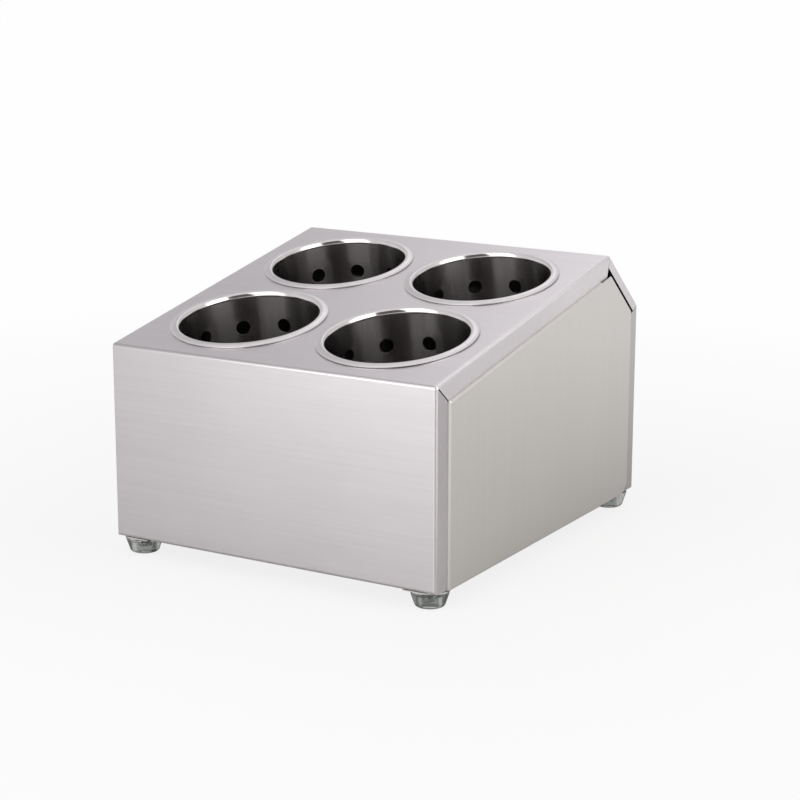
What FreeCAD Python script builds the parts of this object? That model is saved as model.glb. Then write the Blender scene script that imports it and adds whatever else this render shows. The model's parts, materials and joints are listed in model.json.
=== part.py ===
import FreeCAD, Part
import math
import os
import Sketcher

# A free-standing cutlery holder of bent stainless sheet. One sheet makes the front, the sloping
# top, the short rear chamfer and the rear, with strips turned onto the sides and under the base.
# A shallow tray-shaped panel closes each side and laps under the base. Four perforated cups
# hang by their rims in the sloping top and lift out square to it. Four tapered feet are screwed
# up through both base flanges.
#
# Frame: millimetres, +Z up from the counter, front face towards -Y, origin under the middle.

doc = FreeCAD.newDocument("cutlery_holder")

# Driving sizes

SIZES = [
    ("overall_width", 265.0, "outer face to outer face of the side panels"),
    ("overall_depth", 305.0, "front face to rear face"),
    ("overall_height", 200.0, "counter to ridge"),
    ("front_edge_height", 152.5, "counter to the front top edge"),
    ("rear_edge_height", 155.5, "counter to the lower edge of the rear chamfer"),
    ("ridge_setback", 50.5, "ridge to rear face, level"),
    ("sheet", 0.8, "thickness of the casing and side panel sheet"),
    ("bend_radius", 2.4, "outer radius of the casing bends"),
    ("flange_width", 28.0, "strips turned onto the sides and under the base"),
    ("chamfer_flange", 8.0, "the same along the rear chamfer, where a slot stays open"),
    ("front_mitre_gap", 0.9, "open slit between the front and top strips"),
    ("rear_mitre_gap", 0.3, "closed slits at the two rear corners of the strips"),
    ("base_relief", 0.8, "slot between a side strip and the base flange"),
    ("panel_proud", 2.0, "side panel face outside the side strips"),
    ("panel_margin", 14.5, "casing edge to side panel edge, at the front, top and rear"),
    ("chamfer_margin", 11.4, "the same along the rear chamfer"),
    ("panel_bend_radius", 1.5, "outer radius of the side panel's lips"),
    ("panel_clip", 7.5, "corner cut off the side panel at the rear base"),
    ("ridge_relief", 15.0, "radius cleared of lips at the side panel's corner under the ridge"),
    ("rear_relief", 8.0, "the same at its corner below the chamfer"),
    ("tab_setback", 1.0, "side panel's base tabs inside the casing's edges"),
    ("tab_clip", 7.0, "corner cut off each base tab"),
    ("cup_wall", 0.8, "thickness of the cup sheet"),
    ("cup_depth", 132.0, "sloping top to the lower end of a cup's wall"),
    ("cup_clearance", 1.0, "gap all round a cup in its mouth"),
    ("rim_side_margin", 13.6, "side of the casing to the nearest rims"),
    ("rim_end_margin", 13.05, "front edge, and ridge, to the nearest rims, along the slope"),
    ("rim_gap", 8.2, "least gap between two rims"),
    ("rim_width", 7.05, "width of a cup's rim, from its outside to the bore"),
    ("rim_height", 2.0, "crown of the rim above the sloping top"),
    ("lip_radius", 2.4, "roll of the rim into the cup"),
    ("perforation", 10.5, "diameter of a hole in a cup's wall"),
    ("perforation_count", 10, "holes in a row"),
    ("perforation_rows", 4, "rows of holes"),
    ("first_row", 24.0, "sloping top to the first row"),
    ("last_row", 24.0, "last row to the lower end of a cup's wall"),
    ("front_left_turn", 6.5, "degrees that the cup happens to be turned in its mouth"),
    ("front_right_turn", 6.0, "the same"),
    ("rear_left_turn", 17.5, "the same"),
    ("rear_right_turn", 0.0, "the same"),
    ("drain_diameter", 10.5, "diameter of a hole in a cup's base"),
    ("drain_count", 8, "holes in the ring round the middle one"),
    ("drain_ring", 58.0, "diameter of that ring"),
    ("foot_height", 12.0, "counter to the side panel's base flange"),
    ("foot_inset", 15.0, "outer faces to the axis of a foot"),
    ("foot_top", 28.0, "upper diameter of a foot"),
    ("foot_base", 20.0, "lower diameter of a foot"),
    ("foot_edge_radius", 1.6, "rounding of a foot's lower edge"),
    ("foot_recess", 12.0, "diameter of the recess for the screw's head"),
    ("foot_recess_depth", 8.5, "counter to the face that the head pulls on"),
    ("screw_diameter", 5.0, "shank of a foot's screw"),
    ("screw_length", 13.0, "under the head"),
    ("screw_clearance", 0.4, "holes wider than the shank"),
    ("thread_clearance", 0.1, "nut's bore wider than the shank"),
    ("head_diameter", 9.5, "screw's head"),
    ("head_height", 3.0, "screw's head"),
    ("head_edge_radius", 1.2, "rounding of the head"),
    ("drive_span", 5.0, "cross recess in the head, tip to tip"),
    ("drive_width", 1.2, "width of its arms"),
    ("drive_depth", 1.6, "depth of the recess"),
    ("washer_diameter", 11.0, "washer under each nut"),
    ("washer_thickness", 1.0, "the same"),
    ("nut_width", 8.0, "across the flats"),
    ("nut_height", 4.0, "height of a nut"),
]

# Worked-out values: the bevel factors say how far a corner moves for each millimetre that its two
# edges are set in. The rims are as wide as the tighter way across the sloping top allows, and the
# cups then spread out to the margins.

WORKED_OUT = [
    ("casing_width", "overall_width - 2 * panel_proud"),
    ("casing_base", "foot_height + sheet"),
    ("front_face", "-overall_depth / 2"),
    ("rear_face", "overall_depth / 2"),
    ("ridge", "rear_face - ridge_setback"),
    ("slope", "atan((overall_height - front_edge_height) / (overall_depth - ridge_setback))"),
    ("chamfer", "atan((overall_height - rear_edge_height) / ridge_setback)"),
    ("slope_length", "(overall_depth - ridge_setback) / cos(slope)"),
    ("front_bevel", "cos(slope) / (1 + sin(slope))"),
    ("rear_bevel", "cos(chamfer) / (1 + sin(chamfer))"),
    ("ridge_bevel_back", "(sin(chamfer) - sin(slope)) / (1 + cos(slope + chamfer))"),
    ("ridge_bevel_down", "(cos(slope) + cos(chamfer)) / (1 + cos(slope + chamfer))"),
    ("rims_across", "casing_width - 2 * rim_side_margin"),
    ("rims_along", "slope_length - 2 * rim_end_margin"),
    ("rim_diameter", "(min(rims_across; rims_along) - rim_gap) / 2"),
    ("cup_pitch_across", "rims_across - rim_diameter"),
    ("cup_pitch_along", "rims_along - rim_diameter"),
    ("cup_bore", "rim_diameter - 2 * rim_width"),
    ("cup_radius", "cup_bore / 2 + cup_wall"),
    ("crown_radius", "((rim_width - lip_radius) ^ 2 + (rim_height - cup_wall) ^ 2)"
                     " / (2 * (rim_height - cup_wall))"),
    ("row_pitch", "(cup_depth - first_row - last_row) / (perforation_rows - 1)"),
    ("foot_side", "overall_width / 2 - foot_inset"),
    ("foot_end", "overall_depth / 2 - foot_inset"),
    ("screw_hole", "screw_diameter + screw_clearance"),
]

sheet = doc.addObject("Spreadsheet::Sheet", "Sizes")
for row, (alias, value, note) in enumerate(SIZES, start=1):
    sheet.set(f"A{row}", note)
    sheet.set(f"B{row}", str(value))
    sheet.setAlias(f"B{row}", alias)
for row, (alias, formula) in enumerate(WORKED_OUT, start=len(SIZES) + 1):
    sheet.set(f"A{row}", alias)
    sheet.set(f"B{row}", "=" + formula)
    sheet.setAlias(f"B{row}", alias)
doc.recompute()

ALIASES = {name for name, *_ in SIZES + WORKED_OUT}
SIDES = {"left": -1, "right": 1}
ENDS = {"front": -1, "rear": 1}
ACROSS = FreeCAD.Vector(1, 0, 0)
BACK = FreeCAD.Vector(0, 1, 0)
UP = FreeCAD.Vector(0, 0, 1)
OVERCUT = 1.0
NEGLIGIBLE = 1e-4


def sized(text):
    """The expression with every size name pointed at the spreadsheet."""
    words = []
    word = ""
    for letter in text + " ":
        if letter.isalnum() or letter == "_":
            word += letter
            continue
        words.append("Sizes." + word if word in ALIASES else word)
        words.append(letter)
        word = ""
    return "".join(words).strip()


def number(text):
    """The value of an expression of size names."""
    value = sheet.evalExpression(sized(text))
    return float(getattr(value, "Value", value))


def bind(feature, **properties):
    """Ties a feature's properties to expressions of size names."""
    for name, text in properties.items():
        feature.setExpression(name.replace("__", "."), sized(text))


def place(feature, across="0", back="0", up="0", tilt="0", turn="0"):
    """Stands a feature at a point, turned about its own axis and then tilted back about X."""
    bind(
        feature,
        Placement=f"placement(vector({across}; {back}; {up});"
                  f" rotation(vector(1; 0; 0); {tilt}) * rotation(vector(0; 0; 1); {turn}))",
    )


# Sketch helpers


def new_sketch(body, name, plane, level="0"):
    """A sketch on one of the body's own planes, moved along its normal to a level."""
    sketch = body.newObject("Sketcher::SketchObject", name)
    support = next(item for item in body.Origin.OriginFeatures if item.Role == plane)
    sketch.AttachmentSupport = [(support, "")]
    sketch.MapMode = "FlatFace"
    bind(sketch, AttachmentOffset__Base__z=level)
    return sketch


def fix_point(sketch, curve, end, across, up):
    """Dimensions one point of a sketch from the sketch's origin."""
    for kind, text in (("DistanceX", across), ("DistanceY", up)):
        index = sketch.addConstraint(Sketcher.Constraint(kind, -1, 1, curve, end, number(text)))
        bind(sketch, **{f"Constraints[{index}]": text})


def arc_between(start, end, radius, anticlockwise):
    """The shorter arc from start to end; a sketch arc always runs anticlockwise."""
    if not anticlockwise:
        start, end = end, start
    chord = end - start
    height = math.sqrt(radius ** 2 - chord.Length ** 2 / 4)
    left = FreeCAD.Vector(-chord.y, chord.x, 0).normalize()
    centre = (start + end) / 2 + left * height
    first = math.atan2(start.y - centre.y, start.x - centre.x)
    last = math.atan2(end.y - centre.y, end.x - centre.x)
    circle = Part.Circle(centre, UP, radius)
    return Part.ArcOfCircle(circle, first, last)


def outline(sketch, corners, rounds=None):
    """Closes an outline through dimensioned corners.

    rounds gives, by the index of the corner that a stretch starts at, the radius of an arc and
    whether it runs anticlockwise; the other stretches are straight.
    """
    rounds = rounds or {}
    points = [FreeCAD.Vector(number(across), number(up), 0) for across, up in corners]
    starts = []
    ends = []
    for index, point in enumerate(points):
        after = points[(index + 1) % len(points)]
        if index not in rounds:
            starts.append((sketch.addGeometry(Part.LineSegment(point, after)), 1))
            ends.append((starts[-1][0], 2))
            continue
        radius, anticlockwise = rounds[index]
        curve = sketch.addGeometry(arc_between(point, after, number(radius), anticlockwise))
        starts.append((curve, 1 if anticlockwise else 2))
        ends.append((curve, 2 if anticlockwise else 1))
    for index, corner in enumerate(corners):
        sketch.addConstraint(Sketcher.Constraint("Coincident", *ends[index - 1], *starts[index]))
        fix_point(sketch, *starts[index], *corner)
    for index, (radius, _) in rounds.items():
        curve = starts[index][0]
        label = sketch.addConstraint(Sketcher.Constraint("Radius", curve, number(radius)))
        bind(sketch, **{f"Constraints[{label}]": radius})


def round_hole(sketch, across, up, diameter):
    """A dimensioned circle in a sketch."""
    centre = FreeCAD.Vector(number(across), number(up), 0)
    curve = sketch.addGeometry(Part.Circle(centre, UP, number(diameter) / 2))
    fix_point(sketch, curve, 3, across, up)
    label = sketch.addConstraint(Sketcher.Constraint("Diameter", curve, number(diameter)))
    bind(sketch, **{f"Constraints[{label}]": diameter})


# Feature helpers


def new_body(name):
    """An empty body with its label."""
    body = doc.addObject("PartDesign::Body", name)
    body.Label = name
    return body


def pad(body, sketch, length, midplane=False):
    """Pads a sketch along its normal, or half to each side."""
    feature = body.newObject("PartDesign::Pad", sketch.Name + "_pad")
    feature.Profile = sketch
    feature.SideType = "Symmetric" if midplane else "One side"
    bind(feature, Length=length)
    doc.recompute()
    return feature


def pocket(body, sketch, length, along_normal=True):
    """Cuts a sketch into the body, and makes sure that it did cut."""
    before = body.Shape.Volume
    feature = body.newObject("PartDesign::Pocket", sketch.Name + "_cut")
    feature.Profile = sketch
    feature.Reversed = along_normal
    bind(feature, Length=length)
    doc.recompute()
    if body.Shape.Volume >= before:
        raise RuntimeError(f"{feature.Name} cuts nothing")
    return feature


def revolve(body, sketch):
    """Turns a sketch about its own upright axis."""
    feature = body.newObject("PartDesign::Revolution", sketch.Name + "_turned")
    feature.Profile = sketch
    feature.ReferenceAxis = (sketch, ["V_Axis"])
    feature.Angle = 360
    doc.recompute()
    return feature


def round_edges(body, feature, radius, chosen):
    """Rounds the edges of a feature that pass the test."""
    names = [f"Edge{index}" for index, edge in enumerate(feature.Shape.Edges, start=1) if chosen(edge)]
    rounding = body.newObject("PartDesign::Fillet", feature.Name + "_rounded")
    rounding.Base = (feature, names)
    bind(rounding, Radius=radius)
    doc.recompute()
    return rounding


def box(name, length, width, height, **where):
    """A box with its corner at a place."""
    feature = doc.addObject("Part::Box", name)
    bind(feature, Length=length, Width=width, Height=height)
    place(feature, **where)
    return feature


def cylinder(name, diameter, height, **where):
    """An upright cylinder with its base at a place."""
    feature = doc.addObject("Part::Cylinder", name)
    bind(feature, Radius=f"({diameter}) / 2", Height=height)
    place(feature, **where)
    return feature


def cut(name, base, tools):
    """A base with one or more tools cut away."""
    tool = tools[0]
    if len(tools) > 1:
        tool = doc.addObject("Part::MultiFuse", name + "_tools")
        tool.Shapes = tools
    feature = doc.addObject("Part::Cut", name)
    feature.Base = base
    feature.Tool = tool
    feature.Label = name
    return feature


def mirrored(name, source, normal):
    """The source's mirror image in a plane through the origin."""
    feature = doc.addObject("Part::Mirroring", name)
    feature.Source = source
    feature.Normal = normal
    feature.Label = name
    return feature


def four_corners(name, source):
    """One node of four alike solids, one at each corner of the base."""
    pair = doc.addObject("Part::Compound", name + "_pair")
    pair.Links = [source, mirrored(name + "_other_side", source, ACROSS)]
    group = doc.addObject("Part::Compound", name)
    group.Links = [pair, mirrored(name + "_other_end", pair, BACK)]
    group.Label = name
    return group


# Side view of the casing


def upper_corners(inset):
    """The front, ridge and rear upper corners of the side view, with all its edges set in alike."""
    front = (f"front_face + {inset}", f"front_edge_height - {inset} * front_bevel")
    ridge = (f"ridge - {inset} * ridge_bevel_back", f"overall_height - {inset} * ridge_bevel_down")
    rear = (f"rear_face - {inset}", f"rear_edge_height - {inset} * rear_bevel")
    return [front, ridge, rear]


def side_view(inset, base):
    """The five corners of the side view, from the front of the base round to its rear."""
    return [(f"front_face + {inset}", base), *upper_corners(inset), (f"rear_face - {inset}", base)]


def side_view_block(name, inset, base, width):
    """A block of the side view's shape, right across the holder."""
    block = new_body(name)
    sketch = new_sketch(block, name + "_side_view", "YZ_Plane")
    outline(sketch, side_view(inset, base))
    return block, pad(block, sketch, width, midplane=True)


def is_bend(edge):
    """True for every edge of a side view block but the two along the sides of its base."""
    lowest = number("casing_base + sheet")
    return edge.BoundBox.ZMax > lowest + OVERCUT or edge.BoundBox.YLength < OVERCUT


def chamfer_opening():
    """A block that cuts the strips along the chamfer short, from mitre to mitre."""
    opening = new_body("chamfer_opening")
    sketch = new_sketch(opening, "chamfer_opening_side_view", "YZ_Plane")
    _, outer_ridge, outer_rear = upper_corners("chamfer_flange")
    _, inner_ridge, inner_rear = upper_corners(f"(flange_width + {OVERCUT})")
    outline(sketch, [outer_ridge, outer_rear, inner_rear, inner_ridge])
    pad(opening, sketch, f"casing_width + 2 * {OVERCUT}", midplane=True)
    return opening


def mitre_slit(name, corner, direction, stretch, gap):
    """A slit across both sides' strips, from a bend to the window's corner.

    direction is the angle of the slit in the side view and stretch its length for each millimetre
    that the strips are wide.
    """
    back, up = corner
    return box(
        name,
        f"casing_width + 2 * {OVERCUT}",
        f"(flange_width - bend_radius) * {stretch} + {OVERCUT}",
        gap,
        across=f"-casing_width / 2 - {OVERCUT}",
        back=f"{back} + {gap} / 2 * sin({direction})",
        up=f"{up} - {gap} / 2 * cos({direction})",
        tilt=direction,
    )


def mouth_place(side, end, depth="0"):
    """A point on a cup's axis, which is square to the sloping top, at a depth below that top."""
    along = f"(slope_length / 2 + {ENDS[end]} * cup_pitch_along / 2)"
    return {
        "across": f"{SIDES[side]} * cup_pitch_across / 2",
        "back": f"front_face + {along} * cos(slope) + {depth} * sin(slope)",
        "up": f"front_edge_height + {along} * sin(slope) - {depth} * cos(slope)",
        "tilt": "slope",
    }


def foot_place(side, end, up):
    """A point on the axis of a foot."""
    return {"across": f"{SIDES[side]} * foot_side", "back": f"{ENDS[end]} * foot_end", "up": up}


def make_casing():
    """The bent sheet: a hollow block with a window through both sides and the base."""
    outer, blank = side_view_block("casing_outer", "0", "casing_base", "casing_width")
    round_edges(outer, blank, "bend_radius", is_bend)
    inner, blank = side_view_block(
        "casing_inner", "sheet", "casing_base + sheet", "casing_width - 2 * sheet")
    round_edges(inner, blank, "bend_radius - sheet", is_bend)
    window, _ = side_view_block(
        "casing_window", "flange_width", f"foot_height - {OVERCUT}", f"casing_width + 2 * {OVERCUT}")
    tools = [window, chamfer_opening()]

    front, ridge, rear = upper_corners("bend_radius")
    tools.append(mitre_slit("front_slit", front, "(-atan(front_bevel))",
                            "sqrt(1 + front_bevel ^ 2)", "front_mitre_gap"))
    tools.append(mitre_slit("ridge_slit", ridge, "(-90 deg - atan(ridge_bevel_back / ridge_bevel_down))",
                            "sqrt(ridge_bevel_back ^ 2 + ridge_bevel_down ^ 2)", "rear_mitre_gap"))
    tools.append(mitre_slit("rear_slit", rear, "(180 deg + atan(rear_bevel))",
                            "sqrt(1 + rear_bevel ^ 2)", "rear_mitre_gap"))

    for end in ENDS:
        for side in SIDES:
            strip_face = "(casing_width / 2 - sheet)"
            run = f"(flange_width - bend_radius + {OVERCUT})"
            tools.append(box(
                f"{end}_{side}_base_slot", "base_relief", run, f"bend_radius + {OVERCUT}",
                across=strip_face + " - base_relief" if side == "right" else "-" + strip_face,
                back="front_face + bend_radius" if end == "front" else f"rear_face - bend_radius - {run}",
                up=f"casing_base - {OVERCUT}",
            ))
            tools.append(cylinder(
                f"{end}_{side}_mouth", "2 * (cup_radius + cup_clearance)", f"sheet + 2 * {OVERCUT}",
                **mouth_place(side, end, f"(sheet + {OVERCUT})")))
            tools.append(cylinder(
                f"{end}_{side}_casing_hole", "screw_hole", f"sheet + 2 * {OVERCUT}",
                **foot_place(side, end, f"casing_base - {OVERCUT}")))

    closed = cut("casing_closed", outer, [inner])
    return cut("casing", closed, tools)


def panel_corners(inset):
    """The side panel's outline, from the front of its base, with all its edges set in alike."""
    margin = f"(panel_margin + {inset})"
    behind = f"(chamfer_margin + {inset})"
    base = f"foot_height + {inset}"
    clip_shift = f"{inset} * tan(22.5)"
    front, _, _ = upper_corners(margin)
    return [
        (f"front_face + {margin}", base),
        front,
        (f"ridge + ({margin} * cos(chamfer) - {behind} * cos(slope)) / sin(slope + chamfer)",
         f"overall_height - ({margin} * sin(chamfer) + {behind} * sin(slope)) / sin(slope + chamfer)"),
        (f"rear_face - {margin}", f"rear_edge_height + ({margin} * sin(chamfer) - {behind}) / cos(chamfer)"),
        (f"rear_face - {margin}", f"foot_height + panel_clip + {clip_shift}"),
        (f"rear_face - panel_margin - panel_clip - {clip_shift}", base),
    ]


def make_side_panel():
    """The right side panel: a shallow tray with its base lip carried on as a flange."""
    panel = new_body("right_side_panel")
    face = new_sketch(panel, "panel_face", "YZ_Plane", "casing_width / 2")
    outline(face, panel_corners("0"))
    block = pad(panel, face, "panel_proud")
    half_way = number("casing_width / 2 + panel_proud / 2")
    round_edges(panel, block, "panel_bend_radius", lambda edge: edge.BoundBox.XMax > half_way)

    hollow = new_sketch(panel, "panel_hollow", "YZ_Plane", "casing_width / 2")
    outline(hollow, panel_corners("sheet"))
    hollowed = pocket(panel, hollow, "panel_proud - sheet")
    floor = number("overall_width / 2 - sheet")
    round_edges(panel, hollowed, "panel_bend_radius - sheet",
                lambda edge: abs(edge.BoundBox.XMax - floor) < NEGLIGIBLE)

    reliefs = new_sketch(panel, "panel_reliefs", "YZ_Plane", "casing_width / 2")
    _, _, below_ridge, below_chamfer, *_ = panel_corners("0")
    round_hole(reliefs, *below_ridge, "2 * ridge_relief")
    round_hole(reliefs, *below_chamfer, "2 * rear_relief")
    pocket(panel, reliefs, "panel_proud - sheet")

    flange = new_sketch(panel, "panel_flange", "XY_Plane", "foot_height")
    inner_edge = "overall_width / 2 - flange_width"
    bend_edge = "overall_width / 2 - panel_bend_radius"
    tab_edge = "casing_width / 2 - tab_setback"
    front_end = "front_face + panel_margin + panel_bend_radius"
    rear_end = "rear_face - panel_margin - panel_clip - panel_bend_radius"
    outline(flange, [
        (inner_edge, "front_face + tab_setback"),
        (tab_edge + " - tab_clip", "front_face + tab_setback"),
        (tab_edge, "front_face + tab_setback + tab_clip"),
        (tab_edge, front_end),
        (bend_edge, front_end),
        (bend_edge, rear_end),
        (tab_edge, rear_end),
        (tab_edge, "rear_face - tab_setback - tab_clip"),
        (tab_edge + " - tab_clip", "rear_face - tab_setback"),
        (inner_edge, "rear_face - tab_setback"),
    ])
    pad(panel, flange, "sheet")

    holes = new_sketch(panel, "panel_holes", "XY_Plane", "foot_height")
    for end in ENDS:
        round_hole(holes, "foot_side", f"{ENDS[end]} * foot_end", "screw_hole")
    pocket(panel, holes, "sheet")
    return panel


def make_cup_wall(side, end):
    """A cup's wall with its crowned rim, and the rows of holes."""
    name = f"{end}_{side}_cup_wall"
    wall = new_body(name)
    profile = new_sketch(wall, name + "_profile", "XZ_Plane")
    bore = "cup_bore / 2"
    crest = f"{bore} + lip_radius"
    rim = "rim_diameter / 2"
    seat = f"{crest} + sqrt((crown_radius - cup_wall) ^ 2 - (crown_radius - rim_height) ^ 2)"
    roll = "rim_height - lip_radius"
    outline(
        profile,
        [
            (bore, "-cup_depth"),
            (bore, roll),
            (crest, "rim_height"),
            (rim, "cup_wall"),
            (rim, "0"),
            (seat, "0"),
            (crest, "rim_height - cup_wall"),
            ("cup_radius", roll),
            ("cup_radius", "-cup_depth"),
        ],
        {
            1: ("lip_radius", False),
            2: ("crown_radius", False),
            5: ("crown_radius - cup_wall", True),
            6: ("lip_radius - cup_wall", True),
        },
    )
    revolve(wall, profile)

    holes = new_sketch(wall, name + "_holes", "XZ_Plane")
    for row in range(int(number("perforation_rows"))):
        round_hole(holes, "0", f"-first_row - {row} * row_pitch", "perforation")
    column = pocket(wall, holes, f"cup_radius + {OVERCUT}")
    ring = wall.newObject("PartDesign::PolarPattern", name + "_ring")
    ring.Originals = [column]
    ring.Axis = (profile, ["V_Axis"])
    ring.Angle = 360
    bind(ring, Occurrences="perforation_count")
    wall.Tip = ring
    place(wall, **mouth_place(side, end), turn=f"{end}_{side}_turn")
    return wall


def make_cup_base(side, end):
    """The disc welded across the lower end of a cup's wall, with its drain holes."""
    name = f"{end}_{side}_cup_base"
    base = new_body(name)
    disc = new_sketch(base, name + "_disc", "XY_Plane", "-cup_depth - cup_wall")
    round_hole(disc, "0", "0", "2 * cup_radius")
    round_hole(disc, "0", "0", "drain_diameter")
    for index in range(int(number("drain_count"))):
        angle = f"({index} * 360 / drain_count)"
        across = f"drain_ring / 2 * cos({angle})"
        up = f"drain_ring / 2 * sin({angle})"
        round_hole(disc, across, up, "drain_diameter")
    pad(base, disc, "cup_wall")
    place(base, **mouth_place(side, end), turn=f"{end}_{side}_turn")
    return base


def make_foot(side, end):
    """A tapered foot with a deep recess for its screw's head."""
    name = f"{end}_{side}_foot"
    foot = new_body(name)
    profile = new_sketch(foot, name + "_profile", "XZ_Plane")
    outline(profile, [
        ("foot_recess / 2", "0"),
        ("foot_base / 2", "0"),
        ("foot_top / 2", "foot_height"),
        ("screw_hole / 2", "foot_height"),
        ("screw_hole / 2", "foot_recess_depth"),
        ("foot_recess / 2", "foot_recess_depth"),
    ])
    turned = revolve(foot, profile)
    base_edge = number("foot_base")
    round_edges(foot, turned, "foot_edge_radius",
                lambda edge: abs(edge.BoundBox.ZMax) + abs(edge.BoundBox.XLength - base_edge) < NEGLIGIBLE)
    place(foot, **foot_place(side, end, "0"))
    return foot


def make_screws():
    """The four pan-headed screws that come up through the feet."""
    screw = new_body("foot_screw")
    profile = new_sketch(screw, "screw_profile", "XZ_Plane")
    head_end = "foot_recess_depth - head_height"
    tip = "foot_recess_depth + screw_length"
    outline(
        profile,
        [
            ("0", head_end),
            ("head_diameter / 2 - head_edge_radius", head_end),
            ("head_diameter / 2", head_end + " + head_edge_radius"),
            ("head_diameter / 2", "foot_recess_depth"),
            ("screw_diameter / 2", "foot_recess_depth"),
            ("screw_diameter / 2", tip),
            ("0", tip),
        ],
        {1: ("head_edge_radius", True)},
    )
    revolve(screw, profile)
    drive = new_sketch(screw, "screw_drive", "XY_Plane", head_end)
    arm = "drive_width / 2"
    end = "drive_span / 2"
    outline(drive, [
        (end, f"-{arm}"), (end, arm), (arm, arm), (arm, end), (f"-{arm}", end), (f"-{arm}", arm),
        (f"-{end}", arm), (f"-{end}", f"-{arm}"), (f"-{arm}", f"-{arm}"), (f"-{arm}", f"-{end}"),
        (arm, f"-{end}"), (arm, f"-{arm}"),
    ])
    pocket(screw, drive, "drive_depth")
    place(screw, **foot_place("right", "front", "0"))
    return four_corners("foot_screws", screw)


def make_washers():
    """The four washers on the casing's base flanges."""
    seat = foot_place("right", "front", "casing_base + sheet")
    disc = cylinder("washer_disc", "washer_diameter", "washer_thickness", **seat)
    hole = cylinder("washer_hole", "screw_hole", "washer_thickness", **seat)
    return four_corners("foot_washers", cut("washer", disc, [hole]))


def make_nuts():
    """The four hexagon nuts on the washers."""
    seat = foot_place("right", "front", "casing_base + sheet + washer_thickness")
    hexagon = doc.addObject("Part::Prism", "nut_hexagon")
    hexagon.Polygon = 6
    bind(hexagon, Circumradius="nut_width / 2 / cos(30)", Height="nut_height")
    place(hexagon, **seat)
    bore = cylinder("nut_bore", "screw_diameter + thread_clearance", "nut_height", **seat)
    return four_corners("foot_nuts", cut("nut", hexagon, [bore]))


# The assembly

right_panel = make_side_panel()
nodes = [
    make_casing(),
    right_panel,
    mirrored("left_side_panel", right_panel, ACROSS),
    make_screws(),
    make_washers(),
    make_nuts(),
]
for end in ENDS:
    for side in SIDES:
        nodes.append(make_cup_wall(side, end))
        nodes.append(make_cup_base(side, end))
        nodes.append(make_foot(side, end))
doc.recompute()

# Check and write

for item in doc.Objects:
    if "Invalid" in item.State or "Error" in item.State:
        raise RuntimeError(f"{item.Label} failed: {item.State}")
for node in nodes:
    if node.Shape.isNull() or not node.Shape.isValid():
        raise RuntimeError(f"{node.Label} has no valid shape")

os.makedirs("parts", exist_ok=True)
for node in nodes:
    node.Shape.exportStep(f"parts/{node.Label}.step")
    bounds = node.Shape.BoundBox
    print(f"{node.Label}: {len(node.Shape.Solids)} solids, {node.Shape.Volume:.0f} mm3,"
          f" x {bounds.XMin:.2f} {bounds.XMax:.2f}, y {bounds.YMin:.2f} {bounds.YMax:.2f},"
          f" z {bounds.ZMin:.2f} {bounds.ZMax:.2f}")
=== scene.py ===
"""Looks of a stainless steel cutlery holder, dressed on its packed construction model.

The casing and its two side panels keep their construction meshes and get brushed finishes. The cups, the
clear feet and the fasteners are modelled here, in metres, in the same frame: +Z up from the counter, the
front towards -Y, the origin under the middle.
"""

import json
import logging
import math
from collections.abc import Callable, Iterable
from dataclasses import dataclass
from enum import Enum
from functools import cache
from itertools import pairwise, product

import bmesh
import bpy
from mathutils import Matrix, Vector

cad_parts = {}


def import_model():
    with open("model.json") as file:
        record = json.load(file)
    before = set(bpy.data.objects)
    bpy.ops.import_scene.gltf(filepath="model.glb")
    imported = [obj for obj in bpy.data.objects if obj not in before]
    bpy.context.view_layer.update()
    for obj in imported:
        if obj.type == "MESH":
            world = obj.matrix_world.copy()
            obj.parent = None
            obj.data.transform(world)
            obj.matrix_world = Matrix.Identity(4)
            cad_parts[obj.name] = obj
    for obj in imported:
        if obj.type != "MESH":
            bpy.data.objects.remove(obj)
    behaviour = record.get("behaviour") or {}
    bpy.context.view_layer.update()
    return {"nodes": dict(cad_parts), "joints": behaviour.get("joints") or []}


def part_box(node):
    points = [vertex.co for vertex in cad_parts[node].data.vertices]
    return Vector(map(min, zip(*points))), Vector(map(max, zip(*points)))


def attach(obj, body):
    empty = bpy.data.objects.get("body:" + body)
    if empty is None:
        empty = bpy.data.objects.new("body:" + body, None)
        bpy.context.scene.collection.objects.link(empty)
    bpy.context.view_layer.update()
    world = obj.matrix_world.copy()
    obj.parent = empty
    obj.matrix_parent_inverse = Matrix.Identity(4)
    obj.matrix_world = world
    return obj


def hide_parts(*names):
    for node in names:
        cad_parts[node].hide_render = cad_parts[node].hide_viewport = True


Colour = tuple[float, float, float, float]
Profile = list[tuple[float, float]]
SocketValue = bpy.types.NodeSocket | float | tuple | Vector

MM = 0.001
STAND = "stand"
SMOOTH_ANGLE = math.radians(40)
MERGE_DISTANCE = 0.01 * MM
CUP_TILT = math.radians(10.572)
QUARTER_TURN = 0.25
VALUE = "NodeSocketFloat"
PLACE = "NodeSocketVector"

# The cosines between which a face comes to count as looking along an axis
SQUARE_ON = (0.85, 0.95)

# The stretch that most of a noise's values lie in
MOST_NOISE = (0.3, 0.7)

# The tone of the room's opening, where the camera stands
CAMERA_GAP: Colour = (0.13, 0.11, 0.105, 1)

log = logging.getLogger("cutlery_holder")


class End(Enum):
    """The two rows of cups and feet."""

    FRONT = "front"
    REAR = "rear"


class Side(Enum):
    """The two sides of the holder."""

    LEFT = "left"
    RIGHT = "right"


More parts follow.
